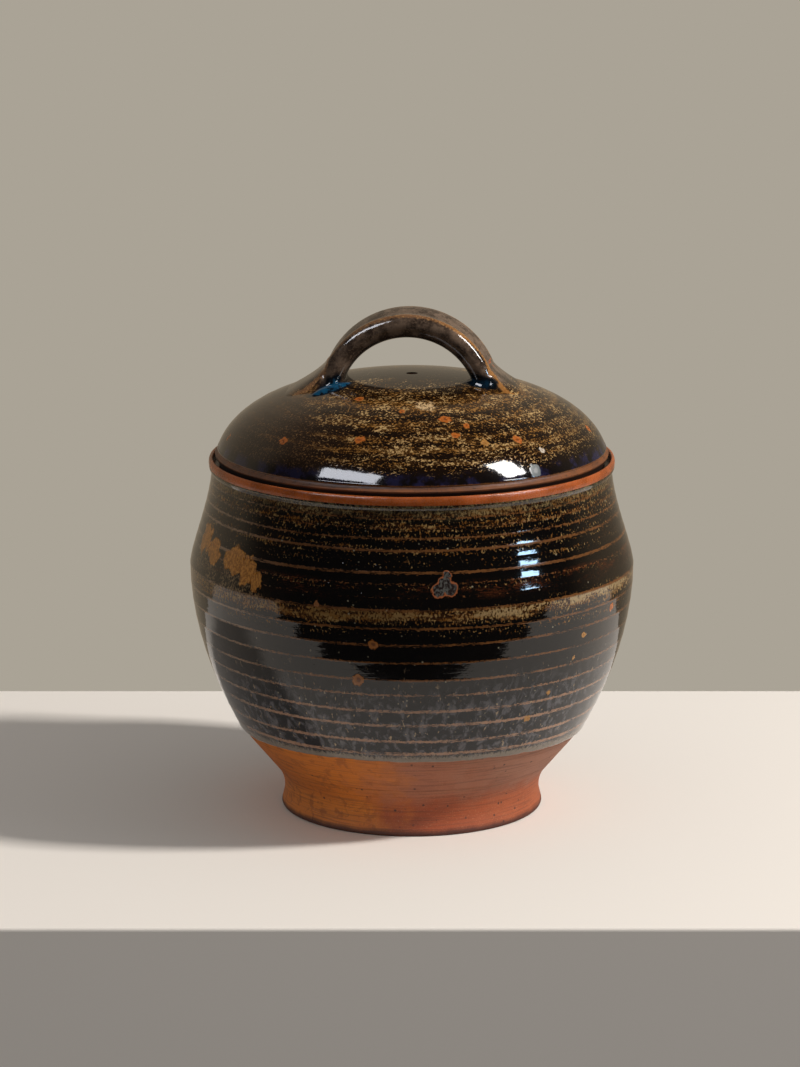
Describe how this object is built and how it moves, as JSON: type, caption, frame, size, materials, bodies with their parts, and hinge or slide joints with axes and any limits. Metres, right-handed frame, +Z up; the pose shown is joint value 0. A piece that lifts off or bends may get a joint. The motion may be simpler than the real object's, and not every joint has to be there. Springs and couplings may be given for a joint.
{
  "type": "lidded bean pot",
  "caption": "Round stoneware bean pot on a bare clay foot, with a throwing-ringed dark glaze, a rolled rim and a loose domed lid with a strap handle.",
  "frame": {"origin": "centre of the foot on the surface the pot stands on, on the pot's turning axis", "axes": "+Z up along the pot's axis; the handle arches along X; -Y is the front"},
  "size_m": [0.2096, 0.2096, 0.2369],
  "materials": {
    "bare_clay": "unglazed fired iron stoneware, dry and slightly toothy",
    "lid_clay": "unglazed fired iron stoneware",
    "handle_clay": "unglazed fired iron stoneware",
    "pot_glaze": "glossy near-black iron glaze, breaking tan on the throwing rings",
    "lid_glaze": "glossy mottled brown, gold and black glaze",
    "handle_glaze": "glossy black and rust glaze, thin on the ridges",
    "liner_glaze": "glossy dark brown liner glaze"
  },
  "bodies": {
    "pot": {"foot_ring": "bare_clay", "pot_body": "bare_clay", "pot_glaze": "pot_glaze", "pot_liner": "liner_glaze"},
    "lid": {"lid_shell": "lid_clay", "lid_flange": "lid_clay", "lid_glaze": "lid_glaze", "lid_liner": "liner_glaze", "handle_strap": "handle_clay", "handle_root_left": "handle_clay", "handle_root_right": "handle_clay", "handle_glaze": "handle_glaze"}
  },
  "joints": [
    {"name": "lid_lift", "type": "slide", "parent": "pot", "child": "lid", "axis": [0, 0, 1], "range_m": [0, 0.12]}
  ]
}
